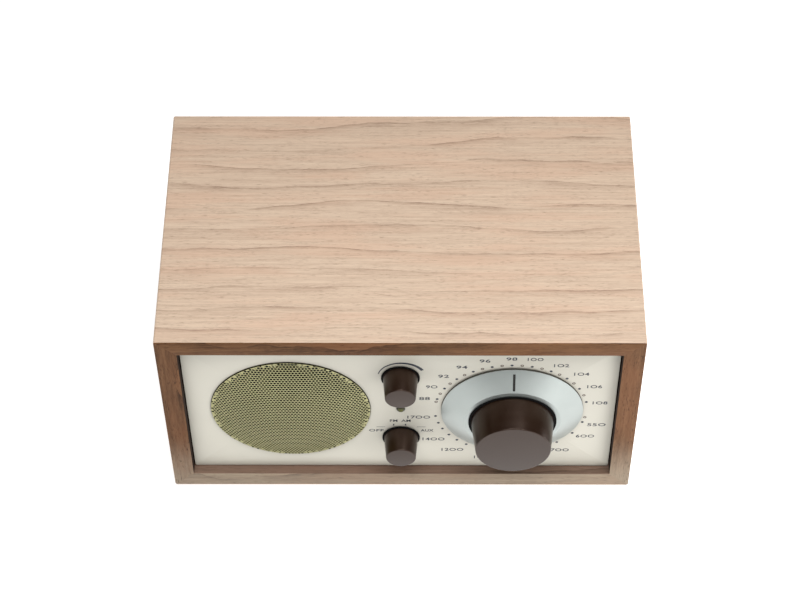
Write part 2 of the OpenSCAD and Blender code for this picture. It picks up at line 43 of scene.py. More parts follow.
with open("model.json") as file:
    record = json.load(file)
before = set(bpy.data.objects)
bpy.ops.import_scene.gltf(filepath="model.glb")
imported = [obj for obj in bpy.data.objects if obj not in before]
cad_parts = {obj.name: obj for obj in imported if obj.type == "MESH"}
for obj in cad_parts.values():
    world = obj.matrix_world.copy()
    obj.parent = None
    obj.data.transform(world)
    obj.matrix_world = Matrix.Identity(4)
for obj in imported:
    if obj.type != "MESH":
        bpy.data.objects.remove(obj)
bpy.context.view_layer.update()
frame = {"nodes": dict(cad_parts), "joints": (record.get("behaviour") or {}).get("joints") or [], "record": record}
JOINTS = {joint["name"]: joint for joint in frame["joints"]}
MM = 0.001
WELD = 0.0005  # vertices closer than this, in millimetres, are one
ARC_STEPS = 5  # of a rounded corner
FLAT = math.radians(1)  # faces that meet at a smaller angle are joined
UPRIGHT = Matrix.Rotation(math.pi / 2, 3, "X")  # turns what is made lying down to face the front
# Places of sockets that share a name or have none of their own
OBJECT_COORDINATES, VECTOR_LENGTH = 3, 1
MIX_FACTOR, MIX_FIRST, MIX_SECOND, MIX_COLOUR = 0, 6, 7, 2


def span(node):
    """Lowest and highest corner of a CAD node, in millimetres."""
    low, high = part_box(node)
    return Vector(low) / MM, Vector(high) / MM


def axis_of(joint):
    """A joint's place as (x, z), in millimetres."""
    x, _, z = JOINTS[joint]["pos_m"]
    return x / MM, z / MM


CABINET_LOW, CABINET_HIGH = span("cabinet_left")[0], span("cabinet_right")[1]
CABINET_LOW.z, CABINET_HIGH.z = span("cabinet_bottom")[0].z, span("cabinet_top")[1].z
WALL = CABINET_HIGH.z - span("cabinet_top")[0].z
FRONT = CABINET_LOW.y
PANEL_LOW, PANEL_HIGH = span("front_panel")
FACE = PANEL_LOW.y
MIDDLE = (PANEL_LOW.z + PANEL_HIGH.z) / 2
GRILLE_LOW, GRILLE_HIGH = span("speaker_grille")
SPEAKER_X = (GRILLE_LOW.x + GRILLE_HIGH.x) / 2
DIAL_X, DIAL_Z = axis_of("dial_turn")
VOLUME_Z = axis_of("volume_turn")[1]
SELECTOR_Z = axis_of("selector_turn")[1]


# ---- shading ----


class Term:
    """One value in a finish's nodes, so that a pattern can be written as a sum."""

    def __init__(self, finish, socket):
        self.finish = finish
        self.socket = socket

    def _math(self, operation, *values):
        return self.finish.node("ShaderNodeMath", {"operation": operation}, dict(enumerate(values)))

    def __add__(self, other):
        return self._math("ADD", self, other)

    def __radd__(self, other):
        return self._math("ADD", other, self)

    def __sub__(self, other):
        return self._math("SUBTRACT", self, other)

    def __rsub__(self, other):
        return self._math("SUBTRACT", other, self)

    def __mul__(self, other):
        return self._math("MULTIPLY", self, other)

    def __rmul__(self, other):
        return self._math("MULTIPLY", other, self)

    def __pow__(self, other):
        return self._math("POWER", self, other)

    def fract(self):
        return self._math("FRACT", self)

    def step(self, low, high):
        """0 below low, 1 above high and smooth between."""
        return self.finish.node(
            "ShaderNodeMapRange",
            {"interpolation_type": "SMOOTHSTEP"},
            {"Value": self, "From Min": low, "From Max": high},
        )


class Finish:
    """One material: a Principled shader and the patterns that feed it."""

    def __init__(self, name, **constants):
        self.material = bpy.data.materials.new(name)
        self.material.use_nodes = True
        self.tree = self.material.node_tree
        self.tree.nodes.clear()
        self.shader = self.tree.nodes.new("ShaderNodeBsdfPrincipled")
        output = self.tree.nodes.new("ShaderNodeOutputMaterial")
        self.tree.links.new(self.shader.outputs[0], output.inputs[0])
        for socket, value in constants.items():
            self.shader.inputs[socket.replace("_", " ")].default_value = value

    def node(self, kind, settings=None, values=None, out=0):
        """Adds a node: its settings first, then the values or links of its sockets."""
        made = self.tree.nodes.new(kind)
        for key, value in (settings or {}).items():
            setattr(made, key, value)
        for key, value in (values or {}).items():
            if isinstance(value, Term):
                self.tree.links.new(value.socket, made.inputs[key])
            else:
                made.inputs[key].default_value = value
        return Term(self, made.outputs[out])

    def place(self, stretch=(1, 1, 1), offset=(0, 0, 0)):
        """Object coordinates in millimetres, stretched and moved."""
        spot = self.node("ShaderNodeTexCoord", out=OBJECT_COORDINATES)
        scale = tuple(s / MM for s in stretch)
        return self.node(
            "ShaderNodeVectorMath", {"operation": "MULTIPLY_ADD"}, {0: spot, 1: scale, 2: offset}
        )

    def coordinate(self, axis, vector=None):
        """One axis (0 for X, 1 for Y, 2 for Z) of a vector, or else of the object coordinates."""
        return self.node("ShaderNodeSeparateXYZ", None, {0: vector or self.place()}, out=axis)

    def radius(self, x, z):
        """Distance from the depth axis through (x, z), in millimetres."""
        spot = self.place((1, 0, 1), (-x, 0, -z))
        return self.node(
            "ShaderNodeVectorMath", {"operation": "LENGTH"}, {0: spot}, out=VECTOR_LENGTH
        )

    def noise(self, vector, scale=1.0, detail=2.0, roughness=0.5):
        values = {"Vector": vector, "Scale": scale, "Detail": detail, "Roughness": roughness}
        return self.node("ShaderNodeTexNoise", None, values)

    def mix(self, factor, first, second):
        """Mixes two colours."""
        first, second = (c if isinstance(c, Term) else (*c, 1.0) for c in (first, second))
        values = {MIX_FACTOR: factor, MIX_FIRST: first, MIX_SECOND: second}
        return self.node("ShaderNodeMix", {"data_type": "RGBA"}, values, out=MIX_COLOUR)

    def feed(self, socket, term):
        self.tree.links.new(term.socket, self.shader.inputs[socket])

    def bump(self, height, distance, strength=1.0):
        """Raises the surface by height times distance, in millimetres."""
        values = {"Height": height, "Distance": distance * MM, "Strength": strength}
        self.feed("Normal", self.node("ShaderNodeBump", None, values))


def shade(colour, amount):
    """The colour, darker for an amount below 1 and lighter above."""
    return tuple(c * amount for c in colour)


# The veneer's noise: cycles per millimetre along and across the grain, detail and roughness
VENEER_PATTERNS = {
    "sway": (0.0095, 0.022, 5.0, 0.5),
    "spread": (0.004, 0.012, 1.0, 0.5),
    "presence": (0.02, 0.07, 2.0, 0.5),
    "fibre": (0.03, 1.5, 5.0, 0.7),
    "broken": (0.1, 0.9, 3.0, 0.6),
    "pores": (0.3, 5.0, 2.0, 0.5),
    "ragged": (0.22, 2.6, 3.0, 0.7),
    "blush": (0.013, 0.12, 4.0, 0.62),
}
RINGS_ACROSS, RINGS_IN_DEPTH = 0.082, 0.05  # growth rings per millimetre
RING_SWAY, RING_SPREAD = 1.6, 1.5  # how far the noise moves them, in rings
RING_SHARPNESS, RING_SOFT_SIDE = 14.0, 3.0  # powers, the higher the thinner the line
FINE_RATE, FINE_START, FINE_SHARPNESS = 2.6, 0.31, 9.0  # the finer lines between the rings
BLUSH = (0.92, 0.78, 0.74)  # tint of the pinker patches
BOUNCE_FADE_LOW, BOUNCE_FADE_HIGH = 4.0, 46.0  # heights between which the painted bounce light on an upright's foot fades
COAT_SHARE, COAT_ROUGHNESS = 0.25, 0.35
VENEER_RELIEF, VENEER_BUMP = 0.03, 0.6


def veneer_finish(
    name, along, tones, roughness=0.42, offset=(0, 0, 0), gloss=0.3, foot=None, grain=1.0
):
    """Sliced veneer with its grain along one axis (0 for X, 1 for Y, 2 for Z).

    The tones are those of early wood, late wood and streaks. Growth lines lie across the grain,
    sharp on one side and soft on the other. They sway and fade along their length, over long
    fibres and short dark pores. foot is the pair of lighter tones painted onto an upright near
    the table: painted light bounced up from the floor.
    A grain below 1 spreads the pattern across the grain.
    """
    light, dark, streak = tones
    coat = {"Coat_Weight": gloss * COAT_SHARE, "Coat_Roughness": COAT_ROUGHNESS}
    finish = Finish(name, Specular_IOR_Level=gloss, **coat)

    def stretched(run, cross):
        return finish.place([run if axis == along else cross * grain for axis in range(3)], offset)

    def pattern(key):
        run, cross, detail, uneven = VENEER_PATTERNS[key]
        return finish.noise(stretched(run, cross), 1.0, detail, uneven)

    across, depth = [
        finish.coordinate(axis, stretched(0.0, 1.0)) for axis in ((1, 2), (0, 2), (1, 0))[along]
    ]
    rings = (
        across * RINGS_ACROSS
        + depth * RINGS_IN_DEPTH
        + pattern("sway") * RING_SWAY
        + pattern("spread") * RING_SPREAD
    )
    growth = rings.fract()
    presence = pattern("presence").step(0.36, 0.62)
    fine = (rings * FINE_RATE + FINE_START).fract() ** FINE_SHARPNESS
    lines = (growth ** RING_SHARPNESS) * (presence * 0.75 + 0.25) + fine * (1 - presence) * 0.35
    fibre = pattern("fibre")
    broken = pattern("broken")
    pores = pattern("pores").step(0.53, 0.66) * broken.step(0.4, 0.64)
    ragged = pattern("ragged").step(0.3, 0.62)
    blush = pattern("blush").step(0.44, 0.66)
    late = (growth ** RING_SOFT_SIDE) * presence
    tone = late * 0.42 + fibre.step(0.34, 0.66) * 0.46 + ragged * 0.2
    colour = finish.mix(tone, light, dark)
    # Near the table the colour fades to the foot's lighter tones: painted bounce light from the floor.
    if foot:
        height = finish.coordinate(2).step(BOUNCE_FADE_LOW, BOUNCE_FADE_HIGH)
        colour = finish.mix(height, finish.mix(tone, *foot), colour)
    pink = tuple(c * tint for c, tint in zip(light, BLUSH))
    colour = finish.mix(blush * 0.42, colour, pink)
    colour = finish.mix(lines * broken.step(0.25, 0.6) * (ragged * 0.65 + 0.2), colour, streak)
    colour = finish.mix(pores * 0.6, colour, streak)
    finish.feed("Base Color", colour)
    finish.feed("Roughness", fibre * 0.16 + (roughness - 0.06))
    finish.bump(fibre * 0.5 - pores * 0.6 - lines * 0.4, VENEER_RELIEF, VENEER_BUMP)
    return finish.material


def grained_finish(name, colour, variation, roughness, grain, height, **constants):
    """Moulded plastic: a fine even grain with a slow drift of tone.

    The grain is in cycles per millimetre and the height of its bumps in millimetres.
    """
    finish = Finish(name, **constants)
    fine = finish.noise(finish.place(), grain, 3.0, 0.6)
    slow = finish.noise(finish.place(), 0.03)
    darker = shade(colour, 1 - variation * 2)
    finish.feed("Base Color", finish.mix(slow.step(0.3, 0.7) * 0.6 + fine * 0.4, colour, darker))
    finish.feed("Roughness", fine * 0.12 + (roughness - 0.06))
    finish.bump(fine, height)
    return finish.material


def metal_finish(name, colour, roughness, stretch=(0.4, 0.4, 6.0), metallic=1.0):
    """Plated or rolled metal with faint drawn lines and a few dull patches."""
    finish = Finish(name, Metallic=metallic)
    lines = finish.noise(finish.place(stretch), 1.0, 3.0, 0.6)
    patches = finish.noise(finish.place(), 0.25)
    darker = shade(colour, 0.8)
    finish.feed("Base Color", finish.mix(patches.step(0.35, 0.75), colour, darker))
    finish.feed("Roughness", lines * 0.18 + patches * 0.1 + (roughness - 0.12))
    finish.bump(lines, 0.01)
    return finish.material


def turned_finish(
    name, centre, colour, roughness, metallic=0.0, rings=3.0, height=0.004, specular=0.5, warm=False
):
    """Fine rings round a depth axis through centre, as a turned or spun part has."""
    tint = (1.0, 0.77, 0.66, 1.0) if warm else (1.0, 1.0, 1.0, 1.0)
    finish = Finish(name, Metallic=metallic, Specular_IOR_Level=specular, Specular_Tint=tint)
    ridges = finish.node(
        "ShaderNodeTexNoise",
        {"noise_dimensions": "1D"},
        {"W": finish.radius(*centre), "Scale": rings, "Detail": 3.0},
    )
    cloud = finish.noise(finish.place(), 0.08)
    speck = finish.noise(finish.place(), 4.0)
    darker = shade(colour, 0.9)
    finish.feed("Base Color", finish.mix(cloud.step(0.3, 0.7) * 0.5 + speck * 0.5, colour, darker))
    finish.feed("Roughness", ridges * 0.1 + (roughness - 0.05))
    finish.bump(ridges + speck * 0.3, height)
    return finish.material


# ---- building ----


def baked(shape, name):
    """Turns a bmesh into a mesh and frees it."""
    mesh = bpy.data.meshes.new(name)
    shape.to_mesh(mesh)
    shape.free()
    return mesh


def linked(name, data):
    """A new object in the scene."""
    made = bpy.data.objects.new(name, data)
    bpy.context.scene.collection.objects.link(made)
    return made


def finished(name, shape, material, body, replaces=(), sharp=35, recalc=False):
    """Turns a bmesh in millimetres into a piece that rides on a body."""
    if recalc:
        bmesh.ops.recalc_face_normals(shape, faces=shape.faces)
    bmesh.ops.scale(shape, vec=(MM, MM, MM), verts=shape.verts)
    mesh = baked(shape, name)
    for polygon in mesh.polygons:
        polygon.use_smooth = True
    mesh.set_sharp_from_angle(angle=math.radians(sharp))
    for entry in material if isinstance(material, (list, tuple)) else [material]:
        mesh.materials.append(entry)
    piece = linked(name, mesh)
    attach(piece, body)
    if replaces:
        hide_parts(*replaces)
    return piece


def join(shape, part):
    """Adds one bmesh to another and frees it."""
    mesh = baked(part, "part")
    shape.from_mesh(mesh)
    bpy.data.meshes.remove(mesh)


def spin(shape, outline, centre, axis, steps):
    """Spins a line of points about an axis through centre."""
    verts = [shape.verts.new(point) for point in outline]
    edges = [shape.edges.new(pair) for pair in zip(verts, verts[1:])]
    turn = {"angle": math.tau, "steps": steps, "use_merge": True}
    bmesh.ops.spin(shape, geom=verts + edges, cent=centre, axis=axis, **turn)
    bmesh.ops.remove_doubles(shape, verts=shape.verts, dist=WELD)


def lathe(shape, points, x, z, steps=96):
    """Spins a profile of (radius, y) points about the depth axis through (x, z)."""
    spin(shape, [(x + radius, y, z) for radius, y in points], (x, 0, z), (0, 1, 0), steps)
    bmesh.ops.recalc_face_normals(shape, faces=shape.faces)


def rod(shape, radius, depth, place, segments):
    """Adds a straight rod along the depth axis, with its middle at place."""
    made = bmesh.ops.create_cone(
        shape, cap_ends=True, segments=segments, radius1=radius, radius2=radius, depth=depth
    )["verts"]
    bmesh.ops.rotate(shape, matrix=UPRIGHT, verts=made)
    bmesh.ops.translate(shape, vec=place, verts=made)


def rounded(points, corners):
    """The profile with some of its corners, given as {index: radius}, turned into arcs."""
    out = []
    for index, point in enumerate(points):
        here = Vector(point)
        if index not in corners:
            out.append(tuple(here))
            continue
        before = (Vector(points[index - 1]) - here).normalized()
        after = (Vector(points[index + 1]) - here).normalized()
        half = before.angle(after) / 2
        reach = corners[index] / math.tan(half)
        centre = here + (before + after).normalized() * corners[index] / math.sin(half)
        start, end = here + before * reach - centre, here + after * reach - centre
        for step in range(ARC_STEPS + 1):
            arm = start.lerp(end, step / ARC_STEPS).normalized() * corners[index]
            out.append(tuple(centre + arm))
    return out


def block(shape, low, high):
    """Adds a box and returns its vertices."""
    made = bmesh.ops.create_cube(shape, size=1.0)["verts"]
    size = Vector(high) - Vector(low)
    bmesh.ops.scale(shape, vec=size, verts=made)
    bmesh.ops.translate(shape, vec=(Vector(high) + Vector(low)) / 2, verts=made)
    return made


def soften(shape, edges, offset, segments=2):
    """Rounds edges by an offset in millimetres."""
    form = {"profile": 0.5, "affect": "EDGES", "material": -1, "clamp_overlap": True}
    bmesh.ops.bevel(shape, geom=edges, offset=offset, segments=segments, **form)


def triangulate(shape):
    """Splits the faces that have more than four corners."""
    bmesh.ops.triangulate(shape, faces=[f for f in shape.faces if len(f.verts) > 4])


def cut(shape, point, normal):
    """Removes what lies on the normal's side of a plane and closes the cut."""
    everything = shape.verts[:] + shape.edges[:] + shape.faces[:]
    made = bmesh.ops.bisect_plane(
        shape, geom=everything, plane_co=point, plane_no=normal, clear_outer=True
    )
    rim = [item for item in made["geom_cut"] if isinstance(item, bmesh.types.BMEdge)]
    bmesh.ops.edgenet_fill(shape, edges=rim)


def from_cad(node, offset, corner=40):
    """A copy of a CAD node in millimetres, cleaned, with edges sharper than corner softened."""
    shape = bmesh.new()
    shape.from_mesh(frame["nodes"][node].data)
    bmesh.ops.scale(shape, vec=(1 / MM,) * 3, verts=shape.verts)
    bmesh.ops.remove_doubles(shape, verts=shape.verts, dist=WELD)
    bmesh.ops.dissolve_limit(
        shape, angle_limit=FLAT, use_dissolve_boundaries=False, verts=shape.verts, edges=shape.edges
    )
    limit = math.radians(corner)
    sharp = [e for e in shape.edges if e.is_manifold and e.calc_face_angle(0) > limit]
    soften(shape, sharp, offset)
    triangulate(shape)
    return shape


# ---- sizes and colours ----


def colour_property(name, description, default):
    return bpy.props.FloatVectorProperty(
        name=name, description=description, default=default, subtype="COLOR", min=0.0, max=1.0
    )


def length_property(name, description, default):
    kind = {"subtype": "DISTANCE", "unit": "LENGTH", "min": 0.0}
    return bpy.props.FloatProperty(
        name=name, description=description, default=default * MM, **kind
    )


class RadioColours(bpy.types.PropertyGroup):
    """Colours of the radio's finishes."""

    veneer_light: colour_property("Veneer, light", "Early wood", (0.72, 0.56, 0.42))
    veneer_dark: colour_property("Veneer, dark", "Late wood", (0.48, 0.34, 0.248))
    veneer_streak: colour_property("Veneer, streaks", "Growth lines, pores", (0.22, 0.135, 0.09))
    edging_light: colour_property("Edging, light", "Front edges", (0.225, 0.109, 0.050))
    edging_dark: colour_property("Edging, dark", "Front edges", (0.057, 0.0255, 0.011))
    # The lower rail's tones are the edging's, painted lighter: painted light bounced up from the floor.
    bounce_lit_rail_light: colour_property("Lower rail, light", "Lower front edge", (0.375, 0.297, 0.215))
    bounce_lit_rail_dark: colour_property("Lower rail, dark", "Lower front edge", (0.225, 0.168, 0.122))
    # The lip and the sill are painted shade: dark copies of the wood for the inside of the cabinet's mouth, the
    # sill a little lighter.
    lip: colour_property("Inner lip", "Stained inside of the mouth", (0.032, 0.02, 0.015))
    painted_shade_sill: colour_property("Sill", "Floor of the cabinet's mouth", (0.21, 0.135, 0.097))
    panel: colour_property("Front panel", "Moulded plastic", (0.65, 0.622, 0.535))
    grille: colour_property("Grille", "Painted perforated metal", (0.54, 0.515, 0.265))
    dial: colour_property("Dial", "Silver paint", (0.425, 0.46, 0.442))
    knob: colour_property("Knobs", "Moulded plastic", (0.012, 0.0047, 0.0018))
    ink: colour_property("Printing", "Numbers, words and dots", (0.03, 0.035, 0.05))
    ring_ink: colour_property("Ring printing", "Open dots", (0.10, 0.065, 0.045))
    lens: colour_property("Lamp lens", "Power lamp", (0.062, 0.064, 0.004))


class RadioSizes(bpy.types.PropertyGroup):
    """Sizes of the radio's details."""

    hole_pitch: length_property("Hole pitch", "Between the grille's holes", 1.5)
    hole_radius: length_property("Hole radius", "Of one hole in the grille", 0.68)
    sheet: length_property("Sheet", "Thickness of the grille's metal", 0.2)
    print_height: length_property("Print height", "Thickness of the printing", 0.04)
    digit_height: length_property("Digit height", "Of the scale's numbers", 2.3)
    dot_circle: length_property("Dot circle", "Radius of the dots round the dial", 34.3)
    edge_softening: length_property("Edge softening", "Of the cabinet's fine edges", 0.35)


# ---- pieces ----


class RadioOperator:
    """What the radio's operators share."""

    bl_options = {"REGISTER", "UNDO"}

    def execute(self, context):
        self.make()
        return {"FINISHED"}

    @property
    def colours(self):
        return bpy.context.scene.radio_colours

    @property
    def sizes(self):
        return bpy.context.scene.radio_sizes


class RADIO_OT_cabinet(RadioOperator, bpy.types.Operator):
    """Makes the four mitred cabinet panels with veneer and darker front edges"""

    bl_idname = "radio.cabinet"
    bl_label = "Cabinet"

    # Name, the way it faces, the axis of its grain and where its pattern starts
    PANELS = (
        ("top", (0, 0, 1), 0, (3, 11, 7)),
        ("bottom", (0, 0, -1), 0, (41, 5, 2)),
        ("left", (-1, 0, 0), 2, (5, 23, 9)),
        ("right", (1, 0, 0), 2, (8, 37, 1)),
    )
    CORNER_ROUNDING, TOUCHING, SQUARE_EDGE = 1.0, 0.01, math.radians(60)
    INWARD, FORWARD = -0.9, -0.6  # a face's normal is past these when it faces that way

    def panel(self, name, side, materials):
        """One panel, cut out of the whole box by its mitre planes; side is the way it faces."""
        shape = bmesh.new()
        block(shape, CABINET_LOW, CABINET_HIGH)
        long_edges = [e for e in shape.edges if abs((e.verts[0].co - e.verts[1].co).y) > 1]
        soften(shape, long_edges, self.CORNER_ROUNDING, 4)
        ends = [
            e for e in shape.edges
            if abs(e.verts[0].co.y - e.verts[1].co.y) < self.TOUCHING
            and e.calc_face_angle(0) > self.SQUARE_EDGE
        ]
        softening = self.sizes.edge_softening / MM
        soften(shape, ends, softening)
        side = Vector(side)
        across = Vector((side.z, 0, side.x))
        outer = CABINET_HIGH if side.x + side.z > 0 else CABINET_LOW
        inside = outer - side * WALL
        cut(shape, inside, -side)
        for turn in (-1, 1):
            toward = side + across * turn
            corner = Vector((
                CABINET_HIGH.x if toward.x > 0 else CABINET_LOW.x,
                0,
                CABINET_HIGH.z if toward.z > 0 else CABINET_LOW.z,
            ))
            cut(shape, corner, (across * turn - side).normalized())

        def on_mouth(place):
            on_inside = abs((place - inside).dot(side)) < self.TOUCHING
            return on_inside and abs(place.y - FRONT) < self.TOUCHING

        lip = [e for e in shape.edges if all(on_mouth(v.co) for v in e.verts)]
        soften(shape, lip, softening)
        # Forward faces take the edging, and faces that look into the mouth take material 2, painted shade.
        for face in shape.faces:
            inward = face.normal.dot(side) < self.INWARD
            face.material_index = 1 if face.normal.y < self.FORWARD else 2 if inward else 0
        triangulate(shape)
        finished(name, shape, materials, "radio", [name], recalc=True)

    def make(self):
        colours = self.colours
        veneer = colours.veneer_light[:], colours.veneer_dark[:], colours.veneer_streak[:]
        edging, rail = colours.edging_dark[:], colours.bounce_lit_rail_dark[:]
        stile = colours.edging_light[:], edging, shade(edging, 0.45)
        # The lower rail takes lighter tones than the other front edges: painted bounce light from the floor.
        bounce_lit_rail = colours.bounce_lit_rail_light[:], rail, shade(rail, 0.5)
        for name, side, along, offset in self.PANELS:
            is_bottom, is_upright = side[2] < 0, along == 2
            # The inside of the mouth is painted shade, the sill lighter than the lip.
            inner = colours.painted_shade_sill[:] if is_bottom else colours.lip[:]
            self.panel("cabinet_" + name, side, [
                veneer_finish("veneer_" + name, along, veneer, offset=offset),
                veneer_finish(
                    "edging_" + name, along, bounce_lit_rail if is_bottom else stile, roughness=0.5,
                    offset=offset[1:] + offset[:1], gloss=0.08,
                    # Near the table the uprights fade to the lower rail's tones: painted bounce light.
                    foot=bounce_lit_rail[:2] if is_upright else None, grain=0.45,
                ),
                veneer_finish(
                    "painted_shade_lip_" + name, along, (inner, shade(inner, 0.65), shade(inner, 0.35)),
                    roughness=0.6, offset=offset, gloss=0.05,
                ),
            ])


class RADIO_OT_panel(RadioOperator, bpy.types.Operator):
    """Gives the front panel its fine moulded grain"""

    bl_idname = "radio.panel"
    bl_label = "Front panel"

    def make(self):
        material = grained_finish(
            "panel_plastic", self.colours.panel[:],
            variation=0.03, roughness=0.55, grain=2.2, height=0.012,
        )
        shape = from_cad("front_panel", 0.25, corner=60)
        finished("front_panel_face", shape, material, "radio", ["front_panel"])


class RADIO_OT_printing(RadioOperator, bpy.types.Operator):
    """Prints the tuning scales, the selector's words and the volume mark on the panel"""

    bl_idname = "radio.printing"
    bl_label = "Printing"

    # Text, x and height above the cabinet's underside of its middle, and how far it is widened
    LABELS = (
        ("88", 10.7, 64.8, 1.56), ("90", 13.9, 73.9, 1.26), ("92", 19.1, 82.0, 1.56),
        ("94", 27.1, 88.9, 1.56), ("96", 37.2, 93.6, 1.56), ("98", 48.9, 95.1, 1.56),
        ("100", 59.3, 94.8, 1.1), ("102", 70.9, 90.2, 1.26), ("104", 80.1, 83.8, 1.26),
        ("106", 86.4, 74.2, 1.26), ("108", 89.6, 61.5, 1.26), ("550", 89.1, 44.1, 1.47),
        ("600", 84.4, 34.8, 1.25), ("700", 73.4, 23.3, 1.25), ("1000", 39.2, 17.2, 1.2),
        ("1200", 23.7, 23.5, 1.27), ("1400", 14.9, 32.2, 1.28), ("1700", 8.1, 50.0, 1.3),
    )
    WORDS = (
        ("FM", -3.3, 47.1, 1.12), ("AM", 2.3, 47.1, 1.1),
        ("OFF", -11.3, 39.3, 1.45), ("AUX", 11.9, 39.3, 1.0),
    )
    WORD_HEIGHT, LETTER_GAP, LETTER_WEIGHT = 1.9, 1.06, 0.012
    TICKS, TICK_WIDTH, TICK_SPAN = (-3.35, 2.1), 0.56, (43.2, 44.5)
    BARS, BAR_SPAN = ((-11.2, -7.2), (7.2, 11.2)), (42.0, 42.2)
    # The middle of the circle of dots, then angles on it, in degrees clockwise from the top
    SCALE_X, SCALE_DROP = 49.65, 0.45
    FM_DOTS = (-76, -61.2, -46, -30.6, -15.6, -0.9, 14.1, 29.4, 44.8, 61.3, 79.6)
    FM_RINGS = (-79.7, -68.6, -53.6, -38.3, -23.1, -8.2, 6.6, 21.8, 37.1, 53, 70.5)
    AM_DOTS = (106.7, 123, 140, -160, -145.1, -135.6, -126.1, -116.4, -108, -98.6)
    AM_RINGS = (100,)
    DOT_RADIUS, RING_RADII = 0.66, (0.36, 0.76)
    ARC_RADII, ARC_ANGLES, ARC_WIDTHS, ARC_STEPS = (10.1, 11.0), (-76, 62), (0.4, 1.45), 48

    def lettering(self, shape, text, x, z, height, widening):
        """Adds flat letters of a height, widened, with their middle at (x, z)."""
        curve = bpy.data.curves.new("lettering", "FONT")
        curve.body = text.replace("0", "O")
        curve.size = 1.0
        curve.space_character, curve.offset = self.LETTER_GAP, self.LETTER_WEIGHT
        curve.resolution_u, curve.extrude = 3, 0.5
        letters = linked("lettering", curve)
        graph = bpy.context.evaluated_depsgraph_get()
        mesh = bpy.data.meshes.new_from_object(letters.evaluated_get(graph))
        part = bmesh.new()
        part.from_mesh(mesh)
        bmesh.ops.remove_doubles(part, verts=part.verts, dist=0.0001)
        low = Vector([min(v.co[i] for v in part.verts) for i in range(3)])
        high = Vector([max(v.co[i] for v in part.verts) for i in range(3)])
        size = high - low
        scale = height / size.y
        depth = self.sizes.print_height / MM
        bmesh.ops.translate(part, vec=-(low + high) / 2, verts=part.verts)
        bmesh.ops.scale(part, vec=(scale * widening, scale, depth / size.z), verts=part.verts)
        bmesh.ops.rotate(part, matrix=UPRIGHT, verts=part.verts)
        bmesh.ops.translate(part, vec=(x, FACE - depth / 2, z), verts=part.verts)
        join(shape, part)
        bpy.data.objects.remove(letters)
        bpy.data.meshes.remove(mesh)
        bpy.data.curves.remove(curve)

    def scale_spot(self, angle):
        """The place (x, z) on the circle of dots at an angle from the top, clockwise."""
        turn, reach = math.radians(angle), self.sizes.dot_circle / MM
        x = self.SCALE_X + reach * math.sin(turn)
        return x, MIDDLE - self.SCALE_DROP + reach * math.cos(turn)

    def ring(self, shape, angle, depth):
        inner, outer = self.RING_RADII
        front = FACE - depth
        profile = [(inner, FACE), (inner, front), (outer, front), (outer, FACE)]
        part = bmesh.new()
        lathe(part, profile, *self.scale_spot(angle), 20)
        join(shape, part)

    def volume_arc(self, shape, depth):
        """A flat arc above the volume knob that moves outwards and widens as it goes."""
        made = bmesh.ops.create_grid(
            shape, x_segments=self.ARC_STEPS, y_segments=1, size=0.5
        )["verts"]
        faces = {f for v in made for f in v.link_faces}
        solid = bmesh.ops.extrude_face_region(shape, geom=list(faces))["geom"]
        raised = [v for v in solid if isinstance(v, bmesh.types.BMVert)]
        bmesh.ops.translate(shape, vec=(0, 0, 1), verts=raised)
        for vert in made + raised:
            part, side, level = vert.co.x + 0.5, vert.co.y * 2, vert.co.z
            angle, middle, width = (
                low + (high - low) * part
                for low, high in (self.ARC_ANGLES, self.ARC_RADII, self.ARC_WIDTHS)
            )
            turn, reach = math.radians(angle), middle + side * width / 2
            z = VOLUME_Z + reach * math.cos(turn)
            vert.co = (reach * math.sin(turn), FACE - depth * level, z)

    def make(self):
        flat = {"variation": 0.1, "roughness": 0.6, "grain": 5.0, "height": 0.004}
        ink = grained_finish("scale_ink", self.colours.ink[:], **flat)
        brown = grained_finish("ring_ink", self.colours.ring_ink[:], **flat)
        depth = self.sizes.print_height / MM
        rise = CABINET_LOW.z
        digit = self.sizes.digit_height / MM

        def bar(shape, x0, x1, heights):
            block(shape, (x0, FACE - depth, heights[0] + rise), (x1, FACE, heights[1] + rise))

        numbers = bmesh.new()
        for text, x, z, widening in self.LABELS:
            self.lettering(numbers, text, x, z + rise, digit, widening)
        finished("scale_numbers", numbers, ink, "radio")

        words = bmesh.new()
        for text, x, z, widening in self.WORDS:
            self.lettering(words, text, x, z + rise, self.WORD_HEIGHT, widening)
        for x in self.TICKS:
            bar(words, x - self.TICK_WIDTH / 2, x + self.TICK_WIDTH / 2, self.TICK_SPAN)
        for x0, x1 in self.BARS:
            bar(words, x0, x1, self.BAR_SPAN)
        finished("selector_words", words, ink, "radio")

        dots = bmesh.new()
        for angle in self.FM_DOTS + self.AM_DOTS:
            x, z = self.scale_spot(angle)
            rod(dots, self.DOT_RADIUS, depth, (x, FACE - depth / 2, z), 16)
        finished("scale_dots", dots, ink, "radio")
        rings = bmesh.new()
        for angle in self.FM_RINGS + self.AM_RINGS:
            self.ring(rings, angle, depth)
        finished("scale_rings", rings, brown, "radio")

        arc = bmesh.new()
        self.volume_arc(arc, depth)
        finished("volume_arc", arc, ink, "radio", recalc=True)


